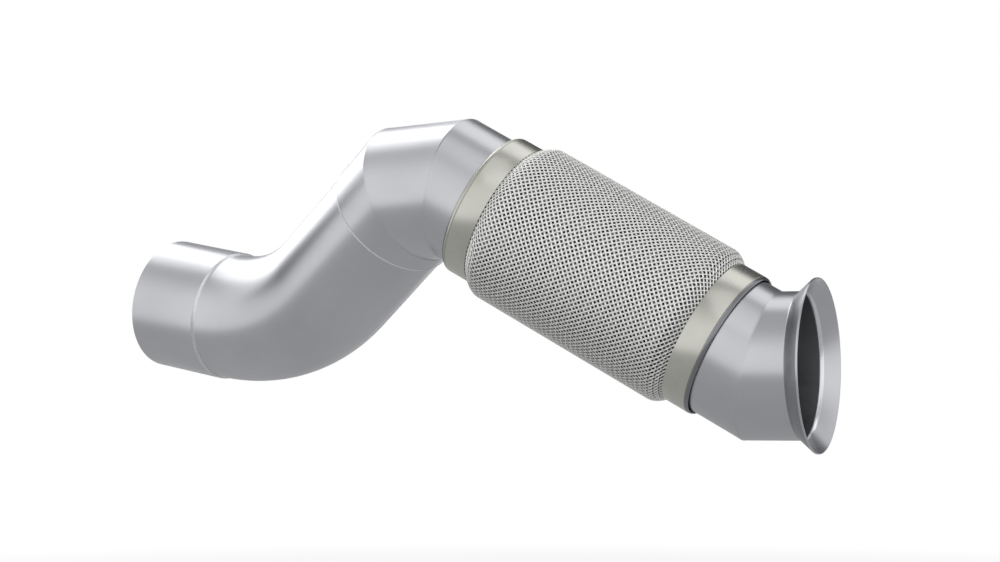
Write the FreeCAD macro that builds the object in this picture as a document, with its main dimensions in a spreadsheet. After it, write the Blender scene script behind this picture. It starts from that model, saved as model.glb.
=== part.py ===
import FreeCAD, Part

import math
import os

import Sketcher
from FreeCAD import Vector

# Exhaust flex pipe: a clamped inlet sleeve, a mandrel bent tube, a gored elbow of three mitre cut
# segments, a braided flex element and a mitred outlet tube with a flared rim.
# Millimetres. The origin is the centre of the flared rim, +X points out of the outlet and the flex
# element lies in the XZ plane. Every segment has a frame whose Z axis points downstream.

DRIVING_SIZES = [
    ("bend_od", 120.0, "outside diameter of the bent tube"),
    ("tube_wall", 1.5, "wall of the tubes upstream of the flex element"),
    ("slip_gap", 0.05, "radial clearance of a tube slid into another"),
    ("outlet_step", 2.4, "radial step from the elbow tube to the outlet tube"),
    ("outlet_wall", 2.0, "wall of the outlet tube"),
    ("inlet_straight", 0.4, "straight of the bent tube between the inlet sleeve and the bend"),
    ("bend_straight", 104.4, "straight of the bent tube between the bend and the elbow"),
    ("gore_run", 51.0, "first mitre to the second mitre"),
    ("outlet_leg_run", 33.1, "lip of the lower collar to the third mitre"),
    ("outlet_run", 50.0, "third mitre to the flared rim"),
    ("bend_angle", 46.0, "angle of the mandrel bend"),
    ("bend_radius", 180.0, "centreline radius of the mandrel bend"),
    ("first_mitre_angle", 34.5, "angle between lower leg and gore"),
    ("second_mitre_angle", 34.5, "angle between gore and upper leg"),
    ("third_mitre_angle", 29.7, "angle between outlet leg and outlet tube"),
    ("elbow_roll_angle", 204.1, "plane of the gored elbow against the plane of the outlet mitre"),
    ("bend_roll_angle", 172.4, "plane of the mandrel bend against the plane of the elbow"),
    ("sleeve_length", 77.2, "length of the inlet sleeve"),
    ("sleeve_overlap", 30.0, "bent tube inside the inlet sleeve"),
    ("elbow_leg_run", 33.2, "open end of the elbow's lower leg to the first mitre"),
    ("elbow_overlap", 11.0, "bent tube inside the elbow's lower leg"),
    ("weld_gap", 1.2, "root gap of a mitre weld"),
    ("lap_bead", 3.0, "axial leg of the fillet beads on the bent tube"),
    ("flex_start", 27.4, "second mitre to the lip of the upper collar"),
    ("flex_length", 261.5, "lip to lip length of the flex element"),
    ("collar_rise", 3.5, "radial rise of the end collars over the outlet tube"),
    ("collar_wall", 1.2, "wall of the end collars"),
    ("collar_length", 26.5, "length of an end collar with its lip"),
    ("upper_lip_angle", 84.0, "angle that the upper collar's lip is rolled through"),
    ("lower_lip_angle", 40.0, "angle that the lower collar's lip is rolled through"),
    ("lip_gap", 1.3, "radial gap between the lip and the tube in it"),
    ("recess_depth", 8.0, "lip to the ends of braid and bellows neck"),
    ("tube_entry", 20.0, "lip to the end of the tube inside the flex element"),
    ("adapter_reach", 3.0, "adapter ring beyond the ends of braid and bellows neck"),
    ("seal_bead", 1.5, "leg of the fillet beads inside the collars"),
    ("braid_rise", 7.7, "radial rise of the braid's ridges over the end collars"),
    ("braid_end_wall", 1.6, "wall of the pressed braid under a collar"),
    ("braid_wall", 1.0, "wall of the braid below its ridges"),
    ("braid_ridge", 1.0, "height of a wire ridge"),
    ("braid_crown", 0.8, "rise of a wire bundle where it crosses over"),
    ("shoulder_length", 14.0, "axial length of the braid's rounded shoulder"),
    ("bellows_wall", 0.6, "wall of the bellows"),
    ("bellows_clearance", 0.9, "radial clearance of the bellows in the braid"),
    ("bellows_neck", 10.0, "plain neck of the bellows beyond a collar"),
    ("liner_clearance", 1.25, "radial clearance of the liner's bands in the bellows"),
    ("liner_band", 1.6, "thickness of one liner band"),
    ("liner_step", 1.2, "radial step between two interlocked bands"),
    ("liner_cuff", 8.5, "length of the cuff at each end of the liner"),
    ("liner_gap", 1.0, "axial gap between the liner and the tube ends"),
    ("flare_rise", 11.5, "radial rise of the flared rim over the outlet tube"),
    ("flare_angle", 42.0, "half angle of the flare"),
    ("flare_bend", 4.0, "inside radius of the bend at the throat of the flare"),
    ("rim_land", 1.0, "width of the flat land on the rim"),
    ("cut_margin", 10.0, "overrun of a mitre cut beyond its tube"),
]
FOLD_COUNT = 14
TURN_COUNT = 15
BUNDLE_COUNT = 12
WIRE_COUNT = 3
BRAID_ROW_COUNT = 10
SHOULDER_ROW_COUNT = 2


class Size:
    """A length or angle: its value, and the sheet expression that keeps it bound."""

    def __init__(self, text, value):
        self.text = text
        self.value = value

    @staticmethod
    def of(other):
        return other if isinstance(other, Size) else Size(repr(float(other)), float(other))

    def __add__(self, other):
        other = Size.of(other)
        return Size(f"({self.text} + {other.text})", self.value + other.value)

    def __sub__(self, other):
        other = Size.of(other)
        return Size(f"({self.text} - {other.text})", self.value - other.value)

    def __mul__(self, other):
        other = Size.of(other)
        return Size(f"({self.text} * {other.text})", self.value * other.value)

    def __truediv__(self, other):
        other = Size.of(other)
        return Size(f"({self.text} / {other.text})", self.value / other.value)

    def __radd__(self, other):
        return Size.of(other) + self

    def __rsub__(self, other):
        return Size.of(other) - self

    def __rmul__(self, other):
        return Size.of(other) * self

    def __neg__(self):
        return Size.of(0) - self


def sine(angle):
    return Size(f"sin({angle.text})", math.sin(math.radians(angle.value)))


def cosine(angle):
    return Size(f"cos({angle.text})", math.cos(math.radians(angle.value)))


def tangent(angle):
    return Size(f"tan({angle.text})", math.tan(math.radians(angle.value)))


def root(square):
    return Size(f"sqrt({square.text})", math.sqrt(square.value))


doc = FreeCAD.newDocument("exhaust_flex_pipe")


def make_sheet():
    sheet = doc.addObject("Spreadsheet::Sheet", "Sizes")
    for row, (name, value, meaning) in enumerate(DRIVING_SIZES, start=1):
        sheet.set(f"A{row}", meaning)
        sheet.set(f"B{row}", str(value))
        sheet.setAlias(f"B{row}", name)
    doc.recompute()
    return {name: Size(f"Sizes.{name}", value) for name, value, _ in DRIVING_SIZES}


S = make_sheet()
sub_parts = []

# Derived sizes
BEND_R = S["bend_od"] / 2
SLEEVE_BORE_R = BEND_R + S["slip_gap"]
SLEEVE_R = SLEEVE_BORE_R + S["tube_wall"]
OUTLET_R = SLEEVE_R + S["outlet_step"]
OUTLET_BORE_R = OUTLET_R - S["outlet_wall"]
COLLAR_R = OUTLET_R + S["collar_rise"]
COLLAR_BORE_R = COLLAR_R - S["collar_wall"]
BRAID_END_R = COLLAR_BORE_R
NECK_R = BRAID_END_R - S["braid_end_wall"]
NECK_BORE_R = NECK_R - S["bellows_wall"]
BRAID_BASE_R = COLLAR_R + S["braid_rise"] - S["braid_ridge"] - S["braid_crown"]
CREST_R = BRAID_BASE_R - S["braid_wall"] - S["bellows_clearance"]
CUFF_R = NECK_BORE_R - S["slip_gap"]
LINER_BORE_R = CUFF_R - S["liner_clearance"] - S["liner_band"] - S["liner_step"]
RIM_R = OUTLET_R + S["flare_rise"]
TANGENT_RUN = S["bend_radius"] * tangent(S["bend_angle"] / 2)
INLET_RUN = TANGENT_RUN + S["inlet_straight"] + S["sleeve_length"]
BEND_RUN = TANGENT_RUN + S["bend_straight"] + S["elbow_leg_run"]
FLEX_END = S["flex_start"] + S["flex_length"]
BRAID_FROM = S["flex_start"] + S["collar_length"]
BRAID_TO = FLEX_END - S["collar_length"]
FLEX_RUN = FLEX_END + S["outlet_leg_run"]
TUBE_IN = S["flex_start"] + S["tube_entry"]
TUBE_OUT = FLEX_END - S["tube_entry"]
NECK_FROM = S["flex_start"] + S["recess_depth"]
NECK_TO = FLEX_END - S["recess_depth"]


def make_frame(name, expression):
    frame = doc.addObject("App::Placement", name)
    frame.setExpression("Placement", expression)
    doc.recompute()
    return frame


def turned(parent, shift, axis, angle):
    """Expression for a frame moved along its parent's Z axis and then turned about its own X, Y or Z."""
    vector = {"Y": "vector(0; 1; 0)", "Z": "vector(0; 0; 1)"}[axis]
    start = f"{parent}.Placement * placement(vector(0; 0; {shift}); rotation(vector(0; 0; 1); 0))"
    return f"{start} * placement(vector(0; 0; 0); rotation({vector}; {angle}))"


def make_frames():
    """One frame for each straight stretch, from the outlet upstream."""
    make_frame("OutletFrame", "placement(vector(0; 0; 0); rotation(vector(1; 0; 1); 180))")
    make_frame("FlexFrame", turned("OutletFrame", "-Sizes.outlet_run", "Y", "-Sizes.third_mitre_angle"))
    make_frame("ElbowFrame", turned("FlexFrame", (-FLEX_RUN).text, "Z", "Sizes.elbow_roll_angle"))
    make_frame("GoreFrame", turned("ElbowFrame", "0", "Y", "-Sizes.second_mitre_angle"))
    make_frame("LegFrame", turned("GoreFrame", "-Sizes.gore_run", "Y", "-Sizes.first_mitre_angle"))
    make_frame("BendFrame", turned("LegFrame", (-BEND_RUN).text, "Z", "Sizes.bend_roll_angle"))
    make_frame("InletFrame", turned("BendFrame", "0", "Y", "-Sizes.bend_angle"))
    make_frame("FirstMitreFrame", turned("GoreFrame", "-Sizes.gore_run", "Y", "-Sizes.first_mitre_angle / 2"))
    make_frame("SecondMitreFrame", turned("ElbowFrame", "0", "Y", "-Sizes.second_mitre_angle / 2"))
    make_frame("ThirdMitreFrame", turned("OutletFrame", "-Sizes.outlet_run", "Y", "-Sizes.third_mitre_angle / 2"))


def make_body(label, frame):
    body = doc.addObject("PartDesign::Body", label)
    body.Label = label
    body.setExpression("Placement", f"{frame}.Placement")
    sub_parts.append(body)
    return body


def origin_plane(body, role):
    return next(item for item in body.Origin.OriginFeatures if item.Role == role)


def make_sketch(body, name, role="XZ_Plane"):
    sketch = body.newObject("Sketcher::SketchObject", name)
    sketch.AttachmentSupport = [(origin_plane(body, role), "")]
    sketch.MapMode = "FlatFace"
    return sketch


def bind(sketch, kind, places, length):
    """Add one dimension and tie it to the sheet."""
    index = sketch.addConstraint(Sketcher.Constraint(kind, *places, length.value))
    sketch.setExpression(f"Constraints[{index}]", length.text)


def arc_between(start, end, radius, side):
    """The short arc from start to end that bulges to the left (+1) or right (-1) of the chord."""
    chord = end - start
    left = Vector(-chord.y, chord.x, 0).normalize()
    depth = math.sqrt(radius**2 - (chord.Length / 2) ** 2)
    centre = (start + end) * 0.5 - left * side * depth
    first, last = (end, start) if side > 0 else (start, end)
    angles = [math.atan2(p.y - centre.y, p.x - centre.x) for p in (first, last)]
    return Part.ArcOfCircle(Part.Circle(centre, Vector(0, 0, 1), radius), *angles)


def draw(sketch, corners):
    """Closed outline. A corner is (across, along) or (across, along, radius, side) if an arc leaves it."""
    points = [Vector(corner[0].value, corner[1].value, 0) for corner in corners]
    ends = []
    for index, corner in enumerate(corners):
        start, end = points[index], points[(index + 1) % len(points)]
        if len(corner) == 2:
            sketch.addGeometry(Part.LineSegment(start, end))
            ends.append((1, 2))
        else:
            sketch.addGeometry(arc_between(start, end, corner[2].value, corner[3]))
            ends.append((2, 1) if corner[3] > 0 else (1, 2))
    count = len(corners)
    for index in range(count):
        after = (index + 1) % count
        joint = Sketcher.Constraint("Coincident", index, ends[index][1], after, ends[after][0])
        sketch.addConstraint(joint)
    for index, corner in enumerate(corners):
        place = (-1, 1, index, ends[index][0])
        bind(sketch, "DistanceX", place, corner[0])
        bind(sketch, "DistanceY", place, corner[1])
        if len(corner) == 4:
            bind(sketch, "Radius", (index,), corner[2])


def revolve(body, name, corners):
    sketch = make_sketch(body, name + "Outline")
    draw(sketch, [(Size.of(c[0]), Size.of(c[1])) + tuple(c[2:]) for c in corners])
    feature = body.newObject("PartDesign::Revolution", name)
    feature.Profile = sketch
    feature.ReferenceAxis = (sketch, ["V_Axis"])
    feature.Angle = 360
    doc.recompute()
    return feature


def tube(body, name, bore_r, outer_r, start, end):
    corners = [(bore_r, start), (outer_r, start), (outer_r, end), (bore_r, end)]
    return revolve(body, name, corners)


def mitre_cut(body, name, outer_r, turn, at, upstream):
    """Cut a tube along its mitre plane, which meets the axis at a distance from the frame's origin.

    The cut stops half a root gap short of the plane.
    upstream is True for the segment that lies before the mitre and ends there.
    """
    reach = outer_r + S["cut_margin"]
    slope = tangent(turn / 2)
    setback = S["weld_gap"] / 2 / cosine(turn / 2)
    rise = reach * slope
    sketch = make_sketch(body, name + "Outline")
    if upstream:
        low, high, far = at - rise - setback, at + rise - setback, at + rise + S["cut_margin"]
        corners = [(-reach, high), (-reach, far), (reach, far), (reach, low)]
    else:
        low, high, far = at - rise + setback, at + rise + setback, at - rise - S["cut_margin"]
        corners = [(-reach, low), (-reach, far), (reach, far), (reach, high)]
    draw(sketch, corners)
    pocket = body.newObject("PartDesign::Pocket", name)
    pocket.Profile = sketch
    pocket.Type = "ThroughAll"
    pocket.Midplane = True
    doc.recompute()


def fillet_bead(label, frame, radius, height, corner, leg):
    """Fillet weld that fills the corner between a tube and the end face of a ring on it."""
    body = make_body(label, frame)
    toe = corner + leg
    bulge = root(height * height + leg * leg)
    turn_side = -1 if leg.value > 0 else 1
    corners = [(radius, corner), (radius + height, corner, bulge, turn_side), (radius, toe)]
    revolve(body, "Bead", corners)


def mitre_weld(label, frame, bore_r, outer_r, turn):
    """Butt weld between two mitre cut tubes: an elliptical ring in the mitre plane, one root gap thick."""
    body = make_body(label, frame)
    sketch = make_sketch(body, "Ring", "XY_Plane")
    for radius in (outer_r, bore_r):
        major = radius / cosine(turn / 2)
        ellipse = Part.Ellipse(Vector(0, 0, 0), major.value, radius.value)
        index = sketch.addGeometry(ellipse)
        sketch.exposeInternalGeometry(index)
        sketch.addConstraint(Sketcher.Constraint("Coincident", index, 3, -1, 1))
        sketch.addConstraint(Sketcher.Constraint("Horizontal", index + 1))
        bind(sketch, "Distance", (index + 1,), major * 2)
        bind(sketch, "Distance", (index + 2,), radius * 2)
    pad = body.newObject("PartDesign::Pad", "Weld")
    pad.Profile = sketch
    pad.setExpression("Length", S["weld_gap"].text)
    pad.Midplane = True
    doc.recompute()


def make_inlet_sleeve():
    body = make_body("inlet_sleeve", "InletFrame")
    tube(body, "Sleeve", SLEEVE_BORE_R, SLEEVE_R, -INLET_RUN, S["sleeve_length"] - INLET_RUN)


def make_bend_tube():
    """A straight stretch, the mandrel bend and a second straight stretch, swept as one tube."""
    body = make_body("bend_tube", "BendFrame")
    turn = S["bend_angle"]
    inlet_end = INLET_RUN - S["sleeve_length"] + S["sleeve_overlap"]
    outlet_end = BEND_RUN - S["elbow_leg_run"] + S["elbow_overlap"]
    far = Vector(inlet_end.value * math.sin(math.radians(turn.value)), 0, 0)
    far.y = -inlet_end.value * math.cos(math.radians(turn.value))
    near = Vector(TANGENT_RUN.value * math.sin(math.radians(turn.value)), 0, 0)
    near.y = -TANGENT_RUN.value * math.cos(math.radians(turn.value))
    spine = make_sketch(body, "Spine")
    spine.addGeometry(Part.LineSegment(Vector(0, outlet_end.value, 0), Vector(0, TANGENT_RUN.value, 0)))
    centre = Vector(S["bend_radius"].value, TANGENT_RUN.value, 0)
    circle = Part.Circle(centre, Vector(0, 0, 1), S["bend_radius"].value)
    spine.addGeometry(Part.ArcOfCircle(circle, math.pi, math.pi + math.radians(turn.value)))
    spine.addGeometry(Part.LineSegment(near, far))
    spine.addConstraint(Sketcher.Constraint("PointOnObject", 0, 1, -2))
    spine.addConstraint(Sketcher.Constraint("Vertical", 0))
    spine.addConstraint(Sketcher.Constraint("Tangent", 0, 2, 1, 1))
    spine.addConstraint(Sketcher.Constraint("Tangent", 1, 2, 2, 1))
    bind(spine, "DistanceY", (-1, 1, 0, 1), outlet_end)
    bind(spine, "DistanceY", (-1, 1, 0, 2), TANGENT_RUN)
    bind(spine, "Radius", (1,), S["bend_radius"])
    bind(spine, "Distance", (2,), inlet_end - TANGENT_RUN)
    bind(spine, "DistanceX", (-1, 1, 2, 1), TANGENT_RUN * sine(turn))
    profile = make_sketch(body, "Section", "XY_Plane")
    profile.setExpression("AttachmentOffset.Base.z", outlet_end.text)
    for radius in (BEND_R, BEND_R - S["tube_wall"]):
        index = profile.addGeometry(Part.Circle(Vector(0, 0, 0), Vector(0, 0, 1), radius.value))
        profile.addConstraint(Sketcher.Constraint("Coincident", index, 3, -1, 1))
        bind(profile, "Radius", (index,), radius)
    doc.recompute()
    pipe = body.newObject("PartDesign::AdditivePipe", "Bend")
    pipe.Profile = profile
    pipe.Spine = (spine, ["Edge1", "Edge2", "Edge3"])
    doc.recompute()


def make_elbow():
    """The gored elbow: lower leg, wedge cut gore and upper leg."""
    first, second = S["first_mitre_angle"], S["second_mitre_angle"]
    overrun = (SLEEVE_R + S["cut_margin"]) * tangent(first / 2)
    leg = make_body("elbow_lower_leg", "LegFrame")
    tube(leg, "Leg", SLEEVE_BORE_R, SLEEVE_R, -S["elbow_leg_run"], overrun)
    mitre_cut(leg, "Mitre", SLEEVE_R, first, Size.of(0), True)
    gore = make_body("elbow_gore", "GoreFrame")
    tube(gore, "Gore", SLEEVE_BORE_R, SLEEVE_R, -S["gore_run"] - overrun, overrun)
    mitre_cut(gore, "OutletMitre", SLEEVE_R, second, Size.of(0), True)
    mitre_cut(gore, "InletMitre", SLEEVE_R, first, -S["gore_run"], False)
    upper = make_body("elbow_upper_leg", "ElbowFrame")
    tube(upper, "Leg", SLEEVE_BORE_R, SLEEVE_R, -overrun, TUBE_IN)
    mitre_cut(upper, "Mitre", SLEEVE_R, second, Size.of(0), False)


def collar_outline(tube_r, turn, inner_edge, lip, facing):
    """Rolled ring: a cylinder from inner_edge, then a lip that is rolled in until it nearly meets the tube.

    facing is +1 where the lip points downstream and -1 where it points upstream.
    """
    inside = (COLLAR_BORE_R - tube_r - S["lip_gap"]) / (1 - cosine(turn))
    outside = inside + S["collar_wall"]
    centre_r = COLLAR_R - outside
    curl_from = lip - facing * outside * sine(turn)
    return [
        (COLLAR_BORE_R, inner_edge),
        (COLLAR_R, inner_edge),
        (COLLAR_R, curl_from, outside, -facing),
        (centre_r + outside * cosine(turn), lip),
        (centre_r + inside * cosine(turn), curl_from + facing * inside * sine(turn), inside, facing),
        (COLLAR_BORE_R, curl_from),
    ]


def make_collars():
    upper = make_body("upper_collar", "ElbowFrame")
    outline = collar_outline(SLEEVE_R, S["upper_lip_angle"], BRAID_FROM, S["flex_start"], -1)
    revolve(upper, "Collar", outline)
    lower = make_body("lower_collar", "ElbowFrame")
    outline = collar_outline(OUTLET_R, S["lower_lip_angle"], BRAID_TO, FLEX_END, 1)
    revolve(lower, "Collar", outline)


def make_adapter_ring():
    """Ring that makes up the difference between the smaller upper tube and the bellows neck."""
    body = make_body("adapter_ring", "ElbowFrame")
    tube(body, "Ring", SLEEVE_R, NECK_BORE_R, NECK_FROM - S["adapter_reach"], TUBE_IN)


def make_bellows():
    """Two plain necks and a row of folds, one sheet thick."""
    body = make_body("bellows", "ElbowFrame")
    wall, crest = S["bellows_wall"], CREST_R
    start, end = BRAID_FROM + S["bellows_neck"], BRAID_TO - S["bellows_neck"]
    pitch = (end - start) / FOLD_COUNT
    rise, fall = start + pitch / 4, start + pitch * 3 / 4
    tube(body, "UpperNeck", NECK_BORE_R, NECK_R, NECK_FROM, start)
    fold = revolve(body, "Fold", [
        (NECK_BORE_R, start),
        (NECK_BORE_R, rise + wall / 2),
        (crest - wall, rise + wall / 2),
        (crest - wall, fall - wall / 2),
        (NECK_BORE_R, fall - wall / 2),
        (NECK_BORE_R, start + pitch),
        (NECK_R, start + pitch),
        (NECK_R, fall + wall / 2),
        (crest, fall + wall / 2),
        (crest, rise - wall / 2),
        (NECK_R, rise - wall / 2),
        (NECK_R, start),
    ])
    repeat(body, "Folds", fold, pitch * (FOLD_COUNT - 1), FOLD_COUNT)
    tube(body, "LowerNeck", NECK_BORE_R, NECK_R, end, NECK_TO)


def make_liner():
    """Stripwound liner drawn as interlocked bands, with a cuff at each end that lies in the bellows neck."""
    body = make_body("interlock_liner", "ElbowFrame")
    bore, band, step = LINER_BORE_R, S["liner_band"], S["liner_step"]
    start, end = TUBE_IN + S["liner_gap"], TUBE_OUT - S["liner_gap"]
    first, last = start + S["liner_cuff"], end - S["liner_cuff"]
    pitch = (last - first) / TURN_COUNT
    tube(body, "UpperCuff", bore + step, CUFF_R, start, first)
    turn = revolve(body, "Turn", [
        (bore, first),
        (bore, first + pitch / 2),
        (bore + step, first + pitch / 2),
        (bore + step, first + pitch),
        (bore + step + band, first + pitch),
        (bore + step + band, first + pitch / 2),
        (bore + band, first + pitch / 2),
        (bore + band, first),
    ])
    repeat(body, "Turns", turn, pitch * (TURN_COUNT - 1), TURN_COUNT)
    tube(body, "LowerCuff", bore + step, CUFF_R, last, end)


def repeat(body, name, feature, length, count):
    pattern = body.newObject("PartDesign::LinearPattern", name)
    pattern.Originals = [feature]
    pattern.Direction = (origin_plane(body, "Z_Axis"), [""])
    pattern.setExpression("Length", length.text)
    pattern.Occurrences = count
    body.Tip = pattern
    doc.recompute()


def make_outlet_leg():
    body = make_body("outlet_leg", "FlexFrame")
    overrun = (OUTLET_R + S["cut_margin"]) * tangent(S["third_mitre_angle"] / 2)
    tube(body, "Leg", OUTLET_BORE_R, OUTLET_R, TUBE_OUT - FLEX_RUN, overrun)
    mitre_cut(body, "Mitre", OUTLET_R, S["third_mitre_angle"], Size.of(0), True)


def make_outlet_flare_tube():
    """Short tube, bent outwards at the throat into a conical flare with a flat land on its rim."""
    body = make_body("outlet_flare_tube", "OutletFrame")
    angle, wall = S["flare_angle"], S["outlet_wall"]
    land_r = RIM_R - S["rim_land"]
    outside_bend = S["flare_bend"]
    inside_bend = S["flare_bend"] + wall
    centre_r = OUTLET_R + outside_bend
    cone_outer_r = centre_r - outside_bend * cosine(angle)
    cone_inner_r = centre_r - inside_bend * cosine(angle)
    throat = -(land_r - cone_inner_r) * cosine(angle) / sine(angle) - inside_bend * sine(angle)
    outer_rim = throat + outside_bend * sine(angle) + (RIM_R - cone_outer_r) * cosine(angle) / sine(angle)
    start = -S["outlet_run"] - (OUTLET_R + S["cut_margin"]) * tangent(S["third_mitre_angle"] / 2)
    revolve(body, "FlaredTube", [
        (OUTLET_BORE_R, start),
        (OUTLET_R, start),
        (OUTLET_R, throat, outside_bend, 1),
        (cone_outer_r, throat + outside_bend * sine(angle)),
        (RIM_R, outer_rim),
        (RIM_R, Size.of(0)),
        (land_r, Size.of(0)),
        (cone_inner_r, throat + inside_bend * sine(angle), inside_bend, -1),
        (OUTLET_BORE_R, throat),
    ])
    mitre_cut(body, "Mitre", OUTLET_R, S["third_mitre_angle"], -S["outlet_run"], False)


def shoulder_outline():
    """Length of one rounded shoulder along the braid's outline."""
    return math.hypot(S["shoulder_length"].value, BRAID_BASE_R.value - BRAID_END_R.value)


def braid_station(along):
    """Position and radius of the braid's outside at a distance along its outline, from collar to collar.

    A shoulder leaves the collar at a slant and rounds over into the straight middle.
    """
    full, end = BRAID_BASE_R.value, BRAID_END_R.value
    shoulder = S["shoulder_length"].value
    middle = BRAID_TO.value - BRAID_FROM.value - 2 * shoulder
    rounded = shoulder_outline()
    if along < rounded:
        part = along / rounded
        return shoulder * part, end + (full - end) * math.sin(part * math.pi / 2)
    if along > rounded + middle:
        part = (2 * rounded + middle - along) / rounded
        return 2 * shoulder + middle - shoulder * part, end + (full - end) * math.sin(part * math.pi / 2)
    return shoulder + along - rounded, full


def make_braid():
    """Woven sleeve: one wall with bundles of wires that cross over and under at 45 degrees.

    The wall is laid out as a lattice of columns round the axis and rows along it. Both diagonals of
    the lattice are wire directions. Wires are ridges, bundles rise where they cross over, and the
    wall is open where four bundles meet. Under the collars the flats of the wall touch the bellows neck.
    """
    period = 2 * WIRE_COUNT
    columns = BUNDLE_COUNT * period
    rows = BRAID_ROW_COUNT * WIRE_COUNT
    shoulder_rows = SHOULDER_ROW_COUNT
    start, end = BRAID_FROM.value, BRAID_TO.value
    neck_r = NECK_R.value / math.cos(math.pi / columns)
    rounded = shoulder_outline()
    middle = end - start - 2 * S["shoulder_length"].value
    total_rows = rows + 2 * shoulder_rows

    def station(row):
        if row < shoulder_rows:
            return rounded * row / shoulder_rows
        if row > rows + shoulder_rows:
            return rounded + middle + rounded * (row - rows - shoulder_rows) / shoulder_rows
        return rounded + middle * (row - shoulder_rows) / rows

    def height(column, row):
        first, second = column + row - shoulder_rows, column - row + shoulder_rows
        ridge = S["braid_ridge"].value * (first % 2)
        crown = abs(math.sin(math.pi * first / period) * math.sin(math.pi * second / period))
        fade = min(1.0, row / shoulder_rows, (total_rows - row) / shoulder_rows)
        return fade * (ridge + S["braid_crown"].value * crown)

    def ring(radius_at, row):
        position = start + braid_station(station(row))[0]
        angles = [2 * math.pi * column / columns for column in range(columns)]
        radii = [radius_at(column, row) for column in range(columns)]
        return [Vector(r * math.cos(a), r * math.sin(a), position) for r, a in zip(radii, angles)]

    def outer_radius(column, row):
        return braid_station(station(row))[1] + height(column, row)

    def inner_radius(column, row):
        if row in (0, total_rows):
            return neck_r
        return braid_station(station(row))[1] - S["braid_wall"].value

    def tail_ring(radius, position):
        angles = [2 * math.pi * column / columns for column in range(columns)]
        return [Vector(radius * math.cos(a), radius * math.sin(a), position) for a in angles]

    outer = [tail_ring(BRAID_END_R.value, NECK_FROM.value)]
    outer += [ring(outer_radius, row) for row in range(total_rows + 1)]
    outer += [tail_ring(BRAID_END_R.value, NECK_TO.value)]
    inner = [tail_ring(neck_r, NECK_FROM.value)]
    inner += [ring(inner_radius, row) for row in range(total_rows + 1)]
    inner += [tail_ring(neck_r, NECK_TO.value)]
    points = [point for rings in (outer, inner) for loop in rings for point in loop]
    inner_base = len(outer) * columns

    def vertex(layer, column, row):
        return layer * inner_base + (row + 1) * columns + column % columns

    def is_gap(column, row):
        lattice_row = row - shoulder_rows
        inside = 0 < lattice_row < rows
        on_lattice = (column + lattice_row) % period == 0 and (column - lattice_row) % period == 0
        return inside and on_lattice

    facets = []

    def add(a, b, c):
        """One facet of the outside, and the same facet turned over on the inside."""
        facets.append((vertex(0, *a), vertex(0, *b), vertex(0, *c)))
        facets.append((vertex(1, *a), vertex(1, *c), vertex(1, *b)))

    def add_wall(a, b):
        """Side of a gap, or of an end, from the outside edge a to b down to the inside."""
        facets.append((vertex(0, *a), vertex(1, *b), vertex(0, *b)))
        facets.append((vertex(0, *a), vertex(1, *a), vertex(1, *b)))

    for row in range(-1, total_rows + 1):
        for column in range(columns):
            corners = [(column, row), (column + 1, row), (column + 1, row + 1), (column, row + 1)]
            open_corner = next((i for i, corner in enumerate(corners) if is_gap(*corner)), None)
            if open_corner is not None:
                kept = [corners[(open_corner + step) % 4] for step in (1, 2, 3)]
                add(*kept)
                add_wall(kept[2], kept[0])
                continue
            first, second = column + row - shoulder_rows + 1, column - row + shoulder_rows
            over = (first // period + second // period) % 2 == 0
            rising = (second % period == 0) or (not over and first % period != 0)
            if rising:
                add(corners[0], corners[1], corners[2])
                add(corners[0], corners[2], corners[3])
            else:
                add(corners[0], corners[1], corners[3])
                add(corners[1], corners[2], corners[3])
    for column in range(columns):
        add_wall((column + 1, -1), (column, -1))
        add_wall((column, total_rows + 1), (column + 1, total_rows + 1))

    shell = Part.Shape()
    shell.makeShapeFromMesh((points, facets), 0.001)
    solid = Part.Solid(Part.Shell(shell.Faces))
    braid = doc.addObject("Part::Feature", "braid_sleeve")
    braid.Label = "braid_sleeve"
    braid.Shape = solid
    braid.Placement = doc.getObject("ElbowFrame").Placement
    sub_parts.append(braid)


def make_welds():
    lap = S["tube_wall"]
    sleeve_end = S["sleeve_length"] - INLET_RUN
    fillet_bead("inlet_lap_weld", "InletFrame", SLEEVE_BORE_R, lap, sleeve_end, S["lap_bead"])
    fillet_bead("elbow_lap_weld", "LegFrame", SLEEVE_BORE_R, lap, -S["elbow_leg_run"], -S["lap_bead"])
    first, second, third = S["first_mitre_angle"], S["second_mitre_angle"], S["third_mitre_angle"]
    mitre_weld("first_mitre_weld", "FirstMitreFrame", SLEEVE_BORE_R, SLEEVE_R, first)
    mitre_weld("second_mitre_weld", "SecondMitreFrame", SLEEVE_BORE_R, SLEEVE_R, second)
    mitre_weld("third_mitre_weld", "ThirdMitreFrame", OUTLET_BORE_R, OUTLET_R, third)
    bead = S["seal_bead"]
    ring_start = NECK_FROM - S["adapter_reach"]
    fillet_bead("adapter_weld", "ElbowFrame", SLEEVE_R, bead, ring_start, -bead)
    fillet_bead("upper_flex_weld", "ElbowFrame", NECK_BORE_R, bead, NECK_FROM, -bead)
    fillet_bead("lower_flex_weld", "ElbowFrame", OUTLET_R, bead, NECK_TO, bead)


def check_document():
    for item in doc.Objects:
        if "Invalid" in item.State or "Error" in item.State:
            raise RuntimeError(f"{item.Name} did not build: {item.State}")
    for item in sub_parts:
        shape = item.Shape
        if shape.isNull() or not shape.isValid() or len(shape.Solids) != 1:
            raise RuntimeError(f"{item.Label} is not one valid solid")


def export():
    os.makedirs("parts", exist_ok=True)
    for item in sub_parts:
        item.Shape.exportStep(os.path.join("parts", item.Label + ".step"))


make_frames()
make_inlet_sleeve()
make_bend_tube()
make_elbow()
make_collars()
make_adapter_ring()
make_bellows()
make_liner()
make_braid()
make_outlet_leg()
make_outlet_flare_tube()
make_welds()
doc.recompute()
check_document()
export()
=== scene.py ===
import math

import bmesh
import bpy
from mathutils import Matrix, Vector


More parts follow.
